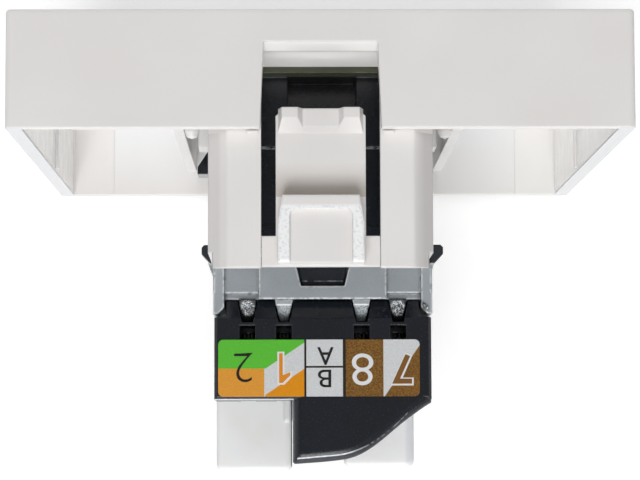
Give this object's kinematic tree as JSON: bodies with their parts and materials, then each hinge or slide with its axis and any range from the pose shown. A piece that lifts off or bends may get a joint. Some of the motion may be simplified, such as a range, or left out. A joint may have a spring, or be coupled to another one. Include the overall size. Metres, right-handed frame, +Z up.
{
  "type": "ethernet socket module",
  "caption": "Square snap-in data outlet module with a white cover, a modular plug socket, finger latches and a tool-free wiring block with colour-coded label.",
  "frame": {"origin": "centre of the front face, which lies flush in the support that holds the module", "axes": "-Y out of the front face towards the plug, +Y towards the cable, +Z up towards the latch side shown in the picture, X along the module's width"},
  "size_m": [0.045, 0.033, 0.0468],
  "materials": {
    "white_plastic": "satin moulded white",
    "black_plastic": "satin moulded black",
    "grey_plastic": "matt moulded grey",
    "board": "coated fibre board",
    "contact_metal": "gold-plated spring wire",
    "tinned_metal": "tin-plated strip",
    "label_print": "printed colour fields"
  },
  "bodies": {
    "module": {"front_frame": "white_plastic", "jack_holder": "white_plastic", "jack_housing": "black_plastic", "contact_carrier": "black_plastic", "circuit_board": "board", "idc_body": "grey_plastic", "cable_fork": "white_plastic", "contact_spring_1": "contact_metal", "contact_spring_2": "contact_metal", "contact_spring_3": "contact_metal", "contact_spring_4": "contact_metal", "contact_spring_5": "contact_metal", "contact_spring_6": "contact_metal", "contact_spring_7": "contact_metal", "contact_spring_8": "contact_metal", "idc_contact_1": "tinned_metal", "idc_contact_2": "tinned_metal", "idc_contact_3": "tinned_metal", "idc_contact_4": "tinned_metal", "idc_contact_5": "tinned_metal", "idc_contact_6": "tinned_metal", "idc_contact_7": "tinned_metal", "idc_contact_8": "tinned_metal"},
    "latch_upper": {"latch_clip_upper": "white_plastic"},
    "latch_lower": {"latch_clip_lower": "white_plastic"},
    "cap_upper": {"wiring_cap_upper": "black_plastic", "wiring_label": "label_print"},
    "cap_lower": {"wiring_cap_lower": "black_plastic"}
  },
  "joints": [
    {"name": "latch_upper_press", "type": "hinge", "parent": "module", "child": "latch_upper", "pos_m": [0, 0.01735, 0.02065], "axis": [1, 0, 0], "range_deg": [0, 7], "stiffness_Nm_per_rad": 0.3},
    {"name": "latch_lower_press", "type": "hinge", "parent": "module", "child": "latch_lower", "pos_m": [0, 0.01735, -0.02065], "axis": [-1, 0, 0], "range_deg": [0, 7], "stiffness_Nm_per_rad": 0.3},
    {"name": "cap_upper_lift", "type": "slide", "parent": "module", "child": "cap_upper", "axis": [0, 0, 1], "range_m": [0, 0.009]},
    {"name": "cap_lower_lift", "type": "slide", "parent": "module", "child": "cap_lower", "axis": [0, 0, -1], "range_m": [0, 0.009]}
  ]
}
